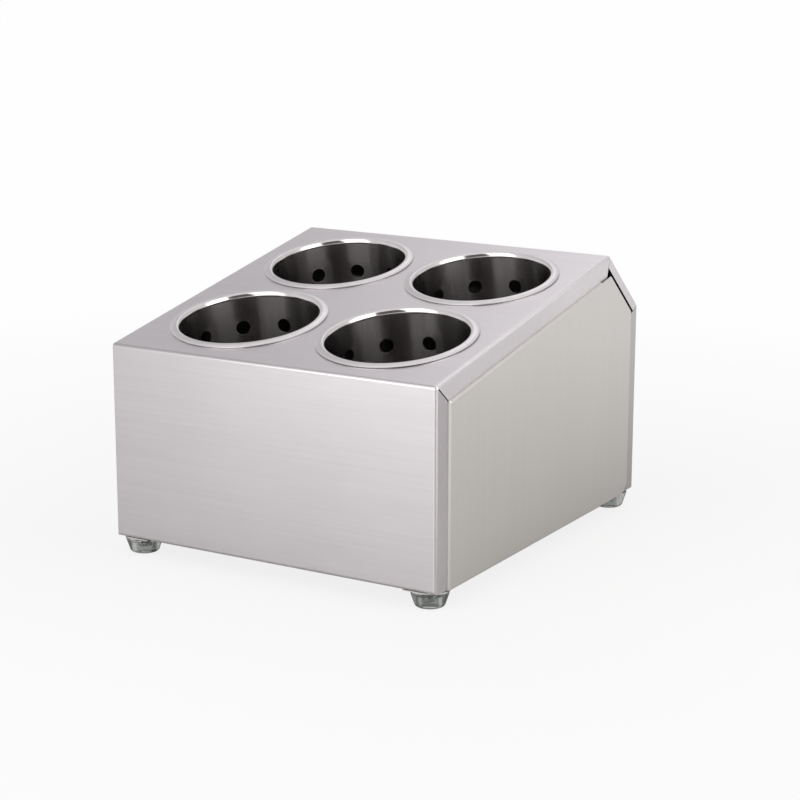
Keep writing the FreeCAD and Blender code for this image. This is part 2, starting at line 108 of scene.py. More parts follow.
class Grain(Enum):
    """Which way a sheet was brushed."""

    LEVEL = "level"
    UPRIGHT = "upright"

    @property
    def along(self) -> Vector:
        """The direction of the brush lines."""
        return Vector((1, 0, 0)) if self is Grain.LEVEL else Vector((0, 0, 1))

    @property
    def across(self) -> Vector:
        """A direction that crosses the brush lines on the sheet's broad faces."""
        return Vector((0, 1, -1)) if self is Grain.LEVEL else Vector((0, 1, 0))

    @property
    def tangent_axis(self) -> str:
        """The axis that the highlights are drawn out around."""
        return "X" if self is Grain.LEVEL else "Z"


class Element(Enum):
    """What is selected in edit mode."""

    EDGE = "EDGE"
    FACE = "FACE"


class Cut(Enum):
    """Which part of a piece is left after a cut: what lies outside the cutter, or what they share."""

    OUTSIDE = "DIFFERENCE"
    SHARED = "INTERSECT"


# Modelling helpers


class EditMode:
    """Edit mode on one piece, for use in a with statement."""

    def __init__(self, piece: bpy.types.Object) -> None:
        """Keeps the mesh object to edit."""
        self.piece = piece

    def __enter__(self) -> "EditMode":
        """Opens edit mode on this piece alone, choosing by edges."""
        select_only(self.piece)
        bpy.ops.object.mode_set(mode="EDIT")
        bpy.ops.mesh.select_mode(type="EDGE")
        return self

    def __exit__(self, *_: object) -> None:
        """Goes back to object mode."""
        bpy.ops.object.mode_set(mode="OBJECT")

    def choose(self, kind: Element, test: Callable[..., bool]) -> None:
        """Selects the edges or the faces that pass a test, and nothing else.

        Args:
            kind: Which of the two.
            test: Says whether an edge or a face is wanted.
        """
        bpy.ops.mesh.select_mode(type=kind.value)
        bpy.ops.mesh.select_all(action="DESELECT")
        shape = bmesh.from_edit_mesh(self.piece.data)
        for item in shape.edges if kind is Element.EDGE else shape.faces:
            if test(item):
                item.select_set(True)
        bmesh.update_edit_mesh(self.piece.data)

    def choose_rings(self, *points: tuple[float, float], within: float = MERGE_DISTANCE) -> None:
        """Selects the rings of edges at these places of a round piece.

        Args:
            points: Radius and height pairs.
            within: How near to its place a ring has to be.
        """
        def on_ring(edge: bmesh.types.BMEdge) -> bool:
            """Whether both ends of an edge lie on one of the rings."""
            return any(all(math.hypot(v.co.xy.length - r, v.co.z - z) < within for v in edge.verts)
                       for r, z in points)
        self.choose(Element.EDGE, on_ring)

    def follow(self, profile: Profile) -> None:
        """Extrudes the selected ring from point to point of a profile.

        Args:
            profile: Radius and height pairs, of which the selected ring is the first.
        """
        for (radius, height), (next_radius, next_height) in pairwise(profile):
            rise = (0, 0, next_height - height)
            wider = next_radius / radius
            bpy.ops.mesh.extrude_edges_move(TRANSFORM_OT_translate={"value": rise})
            bpy.ops.transform.resize(value=(wider, wider, 1), center_override=(0, 0, 0))

    @staticmethod
    def merge_and_turn_outwards() -> None:
        """Merges points that lie on each other and makes all faces point outwards."""
        bpy.ops.mesh.select_all(action="SELECT")
        bpy.ops.mesh.remove_doubles(threshold=MERGE_DISTANCE)
        bpy.ops.mesh.normals_make_consistent(inside=False)


def select_only(*pieces: bpy.types.Object) -> None:
    """Selects these objects alone and makes the first one active.

    Args:
        pieces: The objects to select.
    """
    bpy.ops.object.select_all(action="DESELECT")
    for piece in pieces:
        piece.select_set(True)
    bpy.context.view_layer.objects.active = pieces[0]


def settle(piece: bpy.types.Object) -> None:
    """Puts a piece's place, turn and scale into its mesh.

    Args:
        piece: The piece, whose object goes to the origin.
    """
    select_only(piece)
    bpy.ops.object.transform_apply(location=True, rotation=True, scale=True)


def named_active(name: str) -> bpy.types.Object:
    """Names the object that an operator has just made and settles it.

    Args:
        name: The piece's name.

    Returns:
        The object.
    """
    piece = bpy.context.active_object
    piece.name = name
    piece.data.name = name
    settle(piece)
    return piece


def apply_modifier(piece: bpy.types.Object, kind: str, **settings: object) -> None:
    """Adds a modifier with these settings and applies it.

    Args:
        piece: The piece to change.
        kind: The modifier's type.
        settings: Its properties by name.
    """
    select_only(piece)
    modifier = piece.modifiers.new(kind.lower(), kind)
    for key, value in settings.items():
        setattr(modifier, key, value)
    bpy.ops.object.modifier_apply(modifier=modifier.name)


def soften(piece: bpy.types.Object, width: float, segments: int = 2) -> None:
    """Breaks the sharp edges and shades the piece smoothly.

    Args:
        piece: The piece to finish.
        width: The width of the broken edge.
        segments: How many steps it has.
    """
    apply_modifier(piece, "BEVEL", width=width, segments=segments, limit_method="ANGLE",
                   angle_limit=SMOOTH_ANGLE)
    select_only(piece)
    bpy.ops.object.shade_smooth_by_angle(angle=SMOOTH_ANGLE)
    apply_modifier(piece, "WEIGHTED_NORMAL", keep_sharp=True)


def arc(centre: tuple[float, float], radius: float, start: float, end: float, steps: int) -> Profile:
    """Points along an arc of a profile.

    Args:
        centre: The arc's centre, as radius and height.
        radius: Its radius.
        start: The angle it starts at, in degrees, 0 outwards and 90 up.
        end: The angle it ends at.
        steps: How many stretches it has.

    Returns:
        The points, both ends included.
    """
    angles = [math.radians(start + (end - start) * step / steps) for step in range(steps + 1)]
    return [(centre[0] + radius * math.cos(a), centre[1] + radius * math.sin(a)) for a in angles]


def lathe(name: str, profile: Profile, segments: int, closed: bool = False) -> bpy.types.Object:
    """Makes a round piece by extruding a ring along a profile.

    Args:
        name: The piece's name.
        profile: Radius and height pairs.
        segments: How many sides the rings have.
        closed: Whether the profile comes back to its start; otherwise both its ends are capped.

    Returns:
        The piece, on the Z axis.
    """
    radius, height = profile[0]
    bpy.ops.mesh.primitive_circle_add(vertices=segments, radius=radius, location=(0, 0, height))
    piece = named_active(name)
    with EditMode(piece) as edit:
        bpy.ops.mesh.select_all(action="SELECT")
        edit.follow(profile + profile[:1] if closed else profile)
        if not closed:
            bpy.ops.mesh.edge_face_add()
            edit.choose_rings(profile[0])
            bpy.ops.mesh.edge_face_add()
        edit.merge_and_turn_outwards()
    return piece


def cut(piece: bpy.types.Object, cutters: Iterable[bpy.types.Object], keep: Cut = Cut.OUTSIDE) -> None:
    """Cuts a piece with other shapes, which are then removed.

    Args:
        piece: What is cut.
        cutters: What cuts it.
        keep: Which part of the piece is left.
    """
    for cutter in cutters:
        apply_modifier(piece, "BOOLEAN", object=cutter, operation=keep.value, solver="EXACT")
        bpy.data.objects.remove(cutter)


def rod(radius: float, low: float, high: float, at: tuple[float, float] = (0, 0),
        sides: int = 32) -> bpy.types.Object:
    """A plain upright rod to cut with or to shape further.

    Args:
        radius: Its radius.
        low: The height of its lower end.
        high: The height of its upper end.
        at: Where it stands.
        sides: How many sides it has.

    Returns:
        The rod.
    """
    bpy.ops.mesh.primitive_cylinder_add(vertices=sides, radius=radius, depth=high - low,
                                        location=(*at, (low + high) / 2))
    return named_active("rod")


def placed_copy(master: bpy.types.Object, name: str, place: Matrix) -> bpy.types.Object:
    """Copies a modelled piece, with its own mesh, to a place.

    Args:
        master: The piece on the Z axis.
        name: The copy's name.
        place: Where it goes, which ends up in its mesh.

    Returns:
        The copy.
    """
    copy = master.copy()
    copy.data = master.data.copy()
    bpy.context.scene.collection.objects.link(copy)
    copy.matrix_world = place
    select_only(copy)
    return named_active(name)


def joined(name: str, pieces: list[bpy.types.Object]) -> bpy.types.Object:
    """Joins alike pieces into one object.

    Args:
        name: The object's name.
        pieces: What it is made of.

    Returns:
        The object.
    """
    select_only(*pieces)
    bpy.ops.object.join()
    return named_active(name)


def dress(piece: bpy.types.Object, material: bpy.types.Material) -> None:
    """Gives a piece one material all over.

    Args:
        piece: A modelled piece or a construction node.
        material: Its finish.
    """
    if not piece.material_slots:
        piece.data.materials.append(material)
    for slot in piece.material_slots:
        slot.material = material


def stand_in(piece: bpy.types.Object, body: str, node: str) -> None:
    """Puts a modelled piece in the place of a construction node.

    Args:
        piece: The modelled piece.
        body: The body that it moves with.
        node: The node that it stands for.
    """
    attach(piece, body)
    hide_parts(node)
    log.info("%s stands for %s and rides on %s", piece.name, node, body)


# Shader helpers


class NodeBoard:
    """Adds and links the nodes of one tree."""

    def __init__(self, tree: bpy.types.NodeTree) -> None:
        """Empties the tree of a material, a world or a node group to start on."""
        self.tree = tree
        self.tree.nodes.clear()

    def add(self, kind: str, inputs: dict[str | int, SocketValue] | None = None,
            **settings: object) -> bpy.types.Node:
        """Adds a node and fills or links its inputs.

        Args:
            kind: The node's type, for a shader node without the words ShaderNode.
            inputs: Values, or other nodes' sockets, by the input's name or number.
            settings: The node's own properties.

        Returns:
            The node.
        """
        node = self.tree.nodes.new(kind if kind.startswith("NodeGroup") else "ShaderNode" + kind)
        for key, value in settings.items():
            setattr(node, key, value)
        for key, value in (inputs or {}).items():
            if isinstance(value, bpy.types.NodeSocket):
                self.tree.links.new(value, node.inputs[key])
            else:
                node.inputs[key].default_value = value
        return node

    def math(self, operation: str, first: SocketValue, second: SocketValue) -> bpy.types.NodeSocket:
        """The result of a calculation with two values."""
        return self.add("Math", {0: first, 1: second}, operation=operation).outputs[0]

    def vector(self, operation: str, first: SocketValue,
               second: SocketValue = (0, 0, 0)) -> bpy.types.NodeSocket:
        """The result of a calculation with one or two points or directions."""
        return self.add("VectorMath", {0: first, 1: second}, operation=operation).outputs[0]

    def normal(self) -> bpy.types.NodeSocket:
        """The direction that a face looks in."""
        return self.add("NewGeometry").outputs["Normal"]

    def spread(self, value: SocketValue, stretch: tuple[float, float],
               onto: tuple[float, float]) -> bpy.types.NodeSocket:
        """Maps a stretch of values onto another and holds what lies outside it."""
        names = ("Value", "From Min", "From Max", "To Min", "To Max")
        return self.add("MapRange", dict(zip(names, (value, *stretch, *onto)))).outputs["Result"]

    def blend(self, factor: SocketValue, first: SocketValue, second: SocketValue) -> bpy.types.NodeSocket:
        """A mix of two colours, where the factor is the share of the second."""
        # The colours are this node's inputs 6 and 7 and its output 2
        return self.add("Mix", {0: factor, 6: first, 7: second}, data_type="RGBA").outputs[2]

    def noise(self, place: SocketValue, scale: float, detail: float,
              roughness: float = 0.5) -> bpy.types.NodeSocket:
        """A noise from 0 to 1, with finer layers as strong as its roughness says."""
        names = {"Vector": place, "Scale": scale, "Detail": detail, "Roughness": roughness}
        return self.add("TexNoise", names).outputs["Fac"]

    def dot(self, place: SocketValue, direction: SocketValue) -> bpy.types.NodeSocket:
        """How far a point lies along a direction."""
        return self.add("VectorMath", {0: place, 1: direction}, operation="DOT_PRODUCT").outputs["Value"]


def new_material(name: str) -> tuple[bpy.types.Material, NodeBoard]:
    """An empty node material.

    Args:
        name: The material's name.

    Returns:
        The material and the board that its nodes go on.
    """
    material = bpy.data.materials.new(name)
    material.use_nodes = True
    return material, NodeBoard(material.node_tree)


def new_group(name: str, inputs: dict[str, str],
              outputs: dict[str, str]) -> tuple[NodeBoard, bpy.types.Node]:
    """An empty shader node group.

    Args:
        name: The group's name.
        inputs: Its input sockets, as name and socket type.
        outputs: Its output sockets, likewise.

    Returns:
        The board that its nodes go on and its input node.
    """
    tree = bpy.data.node_groups.new(name, "ShaderNodeTree")
    for direction, sockets in (("INPUT", inputs), ("OUTPUT", outputs)):
        for label, kind in sockets.items():
            tree.interface.new_socket(label, in_out=direction, socket_type=kind)
    board = NodeBoard(tree)
    return board, board.add("NodeGroupInput")


@cache
def brush_lines_group() -> bpy.types.NodeTree:
    """Builds, once, fine brush lines with longer streaks among them.

    Returns:
        The group, which takes the distances along and across the lines, in metres.
    """
    ways = {"Along": VALUE, "Across": VALUE}
    board, given = new_group("brush lines", ways, {"Lines": VALUE, "Streaks": VALUE})
    layers = {}
    for label, per_along, per_across, detail in (("Lines", 14.0, 1500.0, 3.0), ("Streaks", 5.0, 420.0, 4.0)):
        along = board.math("MULTIPLY", given.outputs["Along"], per_along)
        across = board.math("MULTIPLY", given.outputs["Across"], per_across)
        place = board.add("CombineXYZ", {0: along, 1: across}).outputs[0]
        layers[label] = board.noise(place, 1.0, detail, 0.6)
    board.add("NodeGroupOutput", layers)
    return board.tree


@cache
def handling_marks_group() -> bpy.types.NodeTree:
    """Builds, once, faint clouds from handling and small rubbed spots.

    Returns:
        The group, which takes a place in metres.
    """
    board, given = new_group("handling marks", {"Place": PLACE}, {"Clouds": VALUE, "Rubs": VALUE})
    clouds = board.noise(given.outputs["Place"], 9.0, 3.0, 0.55)
    rubs = board.spread(board.noise(given.outputs["Place"], 46.0, 2.0), (0.58, 0.74), (0.0, 1.0))
    board.add("NodeGroupOutput", {"Clouds": clouds, "Rubs": rubs})
    return board.tree


# Finishes


@dataclass(frozen=True)
class EndStrip:
    """An upright strip turned onto the sides at one end, with a mitre at its top."""

    face: float
    top: float
    width: float
    mitre_fall: float
    blur: float = 0.4 * MM

    def mask(self, board: NodeBoard, place: bpy.types.NodeSocket) -> bpy.types.NodeSocket:
        """Where the strip is, whichever way a face looks.

        Args:
            board: The material's nodes.
            place: The point on the sheet.

        Returns:
            The mask's socket.
        """
        outwards = math.copysign(1.0, self.face)
        slope = self.mitre_fall / self.width
        start = abs(self.face) - self.width
        corner = self.top - slope * abs(self.face)
        reach = board.dot(place, Vector((0, outwards, 0)))
        rise = board.dot(place, Vector((0, -outwards * slope, 1)))
        beyond = board.spread(reach, (start - self.blur, start), (0.0, 1.0))
        below = board.spread(rise, (corner, corner + self.blur), (1.0, 0.0))
        return board.math("MULTIPLY", beyond, below)


@dataclass(frozen=True)
class PaintedEdgeLightAndShade:
    """Faces that look along an axis, or along it either way, and are painted lighter or darker than their
    sheet: painted light and shade.
    """

    axis: tuple[float, float, float]
    limits: tuple[float, float]
    shade: float
    both_ways: bool = True


@dataclass(frozen=True)
class BrushedSteel:
    """Sheet steel brushed one way."""

    name: str
    grain: Grain
    tone: Colour
    dull_tone: Colour
    roughness: float
    stretch: float
    strips: tuple[EndStrip, ...] = ()
    # painted shade: how much darker the upright end strips are painted
    painted_strip_shade: float = 1.0
    # painted light and shade on folded edges and bends
    edges: tuple[PaintedEdgeLightAndShade, ...] = ()
    # painted shade: how much darker the faces that look towards the middle are painted
    painted_inner_shade: float = 1.0
    inner_reach: float = 10 * MM
    middle: tuple[float, float, float] = (0.0, 0.0, 90 * MM)
    bend_roughness: float = 1.0
    bend_start: tuple[float, float] = (0.08, 0.20)
    bend_end: tuple[float, float] = (0.80, 0.95)
    streak_share: float = 0.62
    cloud_share: float = 0.38
    roughness_change: float = 0.05
    rubbed_roughness: float = 0.03
    line_strength: float = 0.25
    line_depth: float = 0.02 * MM

    def shade(self, board: NodeBoard, place: bpy.types.NodeSocket) -> bpy.types.NodeSocket:
        """How much lighter or darker the strips, the folded edges and the inner faces are painted: painted
        light and shade.

        Args:
            board: The material's nodes.
            place: The point on the sheet.

        Returns:
            The shade's socket.
        """
        normal = board.normal()
        parts = board.vector("ABSOLUTE", normal)
        outwards = board.dot(board.vector("SUBTRACT", place, self.middle), normal)
        # Faces that look towards the holder's middle get painted shade, as if the inside lay in shadow
        shade = board.spread(outwards, (-self.inner_reach, 0.0), (self.painted_inner_shade, 1.0))
        sideways = board.spread(board.dot(parts, Vector((1, 0, 0))), SQUARE_ON, (0.0, 1.0))
        # The upright end strips get painted shade, standing in for how they reflect
        for strip in self.strips:
            mask = board.math("MULTIPLY", sideways, strip.mask(board, place))
            shade = board.math("MULTIPLY", shade, board.spread(mask, (0.0, 1.0), (1.0, self.painted_strip_shade)))
        # Folded edges and bends get painted light and shade
        for edge in self.edges:
            turned = board.dot(parts if edge.both_ways else normal, Vector(edge.axis))
            shade = board.math("MULTIPLY", shade, board.spread(turned, edge.limits, (1.0, edge.shade)))
        return shade

    def bends(self, board: NodeBoard) -> bpy.types.NodeSocket:
        """How much rougher the bends across the grain are.

        Args:
            board: The material's nodes.

        Returns:
            The socket of a factor for the roughness.
        """
        along = board.dot(board.vector("ABSOLUTE", board.normal()), self.grain.along)
        rise = board.spread(along, self.bend_start, (0.0, 1.0))
        fall = board.spread(along, self.bend_end, (1.0, 0.0))
        return board.spread(board.math("MULTIPLY", rise, fall), (0.0, 1.0), (1.0, self.bend_roughness))

    def material(self) -> bpy.types.Material:
        """Builds the finish.

        Returns:
            The material.
        """
        material, board = new_material(self.name)
        place = board.add("TexCoord").outputs["Object"]
        ways = {"Along": board.dot(place, self.grain.along), "Across": board.dot(place, self.grain.across)}
        lines = board.add("Group", ways, node_tree=brush_lines_group())
        marks = board.add("Group", {"Place": place}, node_tree=handling_marks_group())
        streaks = board.spread(lines.outputs["Streaks"], MOST_NOISE, (0.0, self.streak_share))
        clouds = board.spread(marks.outputs["Clouds"], MOST_NOISE, (0.0, self.cloud_share))
        colour = board.blend(board.math("ADD", streaks, clouds), self.tone, self.dull_tone)
        colour = board.add("VectorMath", {0: colour, "Scale": self.shade(board, place)},
                           operation="SCALE").outputs[0]
        limits = (self.roughness - self.roughness_change, self.roughness + self.roughness_change)
        rough = board.spread(lines.outputs["Lines"], (0.25, 0.75), limits)
        rubs = board.math("MULTIPLY", marks.outputs["Rubs"], self.rubbed_roughness)
        rough = board.math("ADD", rough, rubs)
        rough = board.math("MULTIPLY", rough, self.bends(board))
        height = {"Strength": self.line_strength, "Distance": self.line_depth,
                  "Height": lines.outputs["Lines"]}
        tangent = board.add("Tangent", direction_type="RADIAL", axis=self.grain.tangent_axis)
        shader = board.add("BsdfPrincipled", {
            "Base Color": colour, "Roughness": rough, "Metallic": 1.0, "Anisotropic": self.stretch,
            "Normal": board.add("Bump", height).outputs[0], "Tangent": tangent.outputs[0],
        })
        board.add("OutputMaterial", {"Surface": shader.outputs[0]})
        return material


@dataclass(frozen=True)
class PolishedSteel:
    """Bright steel with faint drawing lines along a tilted axis and satin faces square to it."""

    name: str
    tone: Colour
    dull_tone: Colour
    roughness: float
    tilt: float
    stretch: float = 0.0
    satin: float = 0.0
    satin_limits: tuple[float, float] = (0.80, 0.92)
    line_scale: float = 150.0
    line_draw: float = 0.015
    line_share: float = 0.7
    cloud_share: float = 0.3
    roughness_change: float = 0.012
    rubbed_roughness: float = 0.006
    line_strength: float = 0.06
    line_depth: float = 0.01 * MM

    def material(self) -> bpy.types.Material:
        """Builds the finish.

        Returns:
            The material.
        """
        material, board = new_material(self.name)
        place = board.add("TexCoord").outputs["Object"]
        upright = board.add("Mapping", {"Vector": place, "Rotation": (-self.tilt, 0, 0)}).outputs[0]
        drawn = board.vector("MULTIPLY", upright, (1.0, 1.0, self.line_draw))
        lines = board.noise(drawn, self.line_scale, 3.0, 0.55)
        marks = board.add("Group", {"Place": place}, node_tree=handling_marks_group())
        dull = board.spread(lines, (0.3, 0.75), (0.0, self.line_share))
        clouds = board.spread(marks.outputs["Clouds"], (0.4, 0.7), (0.0, self.cloud_share))
        colour = board.blend(board.math("ADD", dull, clouds), self.tone, self.dull_tone)
        limits = (self.roughness - self.roughness_change, self.roughness + self.roughness_change)
        rough = board.spread(lines, MOST_NOISE, limits)
        rubs = board.math("MULTIPLY", marks.outputs["Rubs"], self.rubbed_roughness)
        rough = board.math("ADD", rough, rubs)
        axis = Vector((0, -math.sin(self.tilt), math.cos(self.tilt)))
        satin = board.spread(board.dot(board.normal(), axis), self.satin_limits, (0.0, self.satin))
        rough = board.math("ADD", rough, satin)
        bump = board.add("Bump", {"Strength": self.line_strength, "Distance": self.line_depth,
                                  "Height": lines})
        around = board.add("Tangent", direction_type="RADIAL", axis="Z")
        shader = board.add("BsdfPrincipled", {
            "Base Color": colour, "Roughness": rough, "Metallic": 1.0, "Normal": bump.outputs[0],
            "Anisotropic": self.stretch, "Anisotropic Rotation": QUARTER_TURN, "Tangent": around.outputs[0],
        })
        board.add("OutputMaterial", {"Surface": shader.outputs[0]})
        return material


@dataclass(frozen=True)
class CloudedFinish:
    """Plating or clear plastic with fine clouds in its colour and its gloss."""

    name: str
    tone: Colour
    cloudy_tone: Colour
    roughness: tuple[float, float]
    cloud_scale: float
    cloud_detail: float
    bump_strength: float
    bump_depth: float
    metallic: float = 0.0
    clearness: float = 0.0
    bending: float = 1.5

    def material(self) -> bpy.types.Material:
        """Builds the finish.

        Returns:
            The material.
        """
        material, board = new_material(self.name)
        place = board.add("TexCoord").outputs["Object"]
        clouds = board.noise(place, self.cloud_scale, self.cloud_detail, 0.6)
        colour = board.blend(board.spread(clouds, (0.35, 0.7), (0.0, 1.0)), self.tone, self.cloudy_tone)
        rough = board.spread(clouds, MOST_NOISE, self.roughness)
        height = {"Strength": self.bump_strength, "Distance": self.bump_depth, "Height": clouds}
        shader = board.add("BsdfPrincipled", {
            "Base Color": colour, "Roughness": rough, "Metallic": self.metallic, "IOR": self.bending,
            "Transmission Weight": self.clearness, "Normal": board.add("Bump", height).outputs[0],
        })
        board.add("OutputMaterial", {"Surface": shader.outputs[0]})
        return material


@dataclass(frozen=True)
class PaleFloor:
    """A white floor that takes the object's shadow, also under its middle, and is clear from below."""

    name: str
    tone: Colour
    footprint: tuple[float, float]
    fade: tuple[float, float]
    seen_white: tuple[float, float]
    mirrored_white: tuple[float, float]
    shaded_middle: tuple[float, float] = (92 * MM, 106 * MM)

    def material(self) -> bpy.types.Material:
        """Builds the finish, whose share of plain white grows with the distance from the object, so that
        near the object the floor is painted darker: a painted shadow, seen most in the metal's reflections.

        Returns:
            The material.
        """
        material, board = new_material(self.name)
        place = board.add("TexCoord").outputs["Object"]
        away = board.vector("ABSOLUTE", place)
        parts = board.add("SeparateXYZ", {0: away}).outputs
        farther = board.math("MAXIMUM", parts["X"], parts["Y"])
        open_floor = board.spread(farther, self.shaded_middle, (0.0, 1.0))
        away = board.vector("MAXIMUM", board.vector("SUBTRACT", away, (*self.footprint, 0)), (0, 0, 0))
        distance = board.add("VectorMath", {0: away}, operation="LENGTH").outputs["Value"]
        rays = board.add("LightPath").outputs
        seen = board.math("MAXIMUM", rays["Is Camera Ray"], rays["Is Transmission Ray"])
        seen = board.math("MULTIPLY", seen, board.spread(distance, self.fade, self.seen_white))
        seen = board.math("MULTIPLY", seen, open_floor)
        # painted shadow: in reflections the floor turns from its matt tone near the object to white farther
        # away
        mirrored = board.spread(distance, self.fade, self.mirrored_white)
        mirrored = board.math("MULTIPLY", rays["Is Glossy Ray"], mirrored)
        matt = board.add("BsdfDiffuse", {"Color": self.tone}).outputs[0]
        white = board.add("Emission", {"Color": (1, 1, 1, 1), "Strength": 1.0}).outputs[0]
        share = board.math("MAXIMUM", seen, mirrored)
        upper = board.add("MixShader", {0: share, 1: matt, 2: white}).outputs[0]
        below = board.add("NewGeometry").outputs["Backfacing"]
        clear = board.add("BsdfTransparent").outputs[0]
        both = board.add("MixShader", {0: below, 1: upper, 2: clear}).outputs[0]
        board.add("OutputMaterial", {"Surface": both})
        return material


# Sub-assemblies


@dataclass
class Housing:
    """The bent casing and its two side panels, which keep their construction meshes."""

    casing_finish: BrushedSteel = BrushedSteel(
        "casing_brushed_steel", Grain.LEVEL, (0.72, 0.69, 0.70, 1), (0.66, 0.632, 0.642, 1), 0.33, 0.65,
        # painted shade: the end strips are painted darker than the rest of the casing
        strips=(EndStrip(face=-152.5 * MM, top=152.5 * MM, width=15.0 * MM, mitre_fall=12.5 * MM),
                EndStrip(face=152.5 * MM, top=155.5 * MM, width=15.0 * MM, mitre_fall=6.8 * MM)),
        # painted shade: the end strips and the inner faces are painted darker
        painted_strip_shade=0.76, painted_inner_shade=0.5, bend_roughness=1.35,
        # painted shade: the front top bend is painted darker, dimming its highlight
        edges=(PaintedEdgeLightAndShade((0, -0.77, 0.64), (0.86, 0.95), 0.62, both_ways=False),
               # painted light: the casing's side faces are painted lighter
               PaintedEdgeLightAndShade((1, 0, 0), SQUARE_ON, 1.11)))
    panel_finish: BrushedSteel = BrushedSteel(
        "panel_brushed_steel", Grain.UPRIGHT, (0.765, 0.743, 0.716, 1), (0.72, 0.70, 0.673, 1), 0.33, 0.6,
        # painted light on the panel's front and rear folded edges, filling the dark line beside the strips;
        # painted shade on its upper edges, dimming their highlight
        edges=(PaintedEdgeLightAndShade((0, 1, 0), (0.6, 0.9), 1.2), PaintedEdgeLightAndShade((0, 0, 1), (0.3, 0.6), 0.9)),
        # painted shade: the panel's inner faces are painted darker
        painted_inner_shade=0.5)

    def build(self, nodes: dict[str, bpy.types.Object]) -> None:
        """Dresses the casing and the panels.

        Args:
            nodes: The construction nodes by name.
        """
        dress(nodes["casing"], self.casing_finish.material())
        log.info("casing dressed")
        panel = self.panel_finish.material()
        for side in Side:
            dress(nodes[f"{side.value}_side_panel"], panel)
            log.info("%s_side_panel dressed", side.value)


@dataclass(frozen=True)
class CupSeat:
    """How one cup happens to sit in its mouth."""

    end: End
    side: Side
    turn: float
    rim_undercut: float


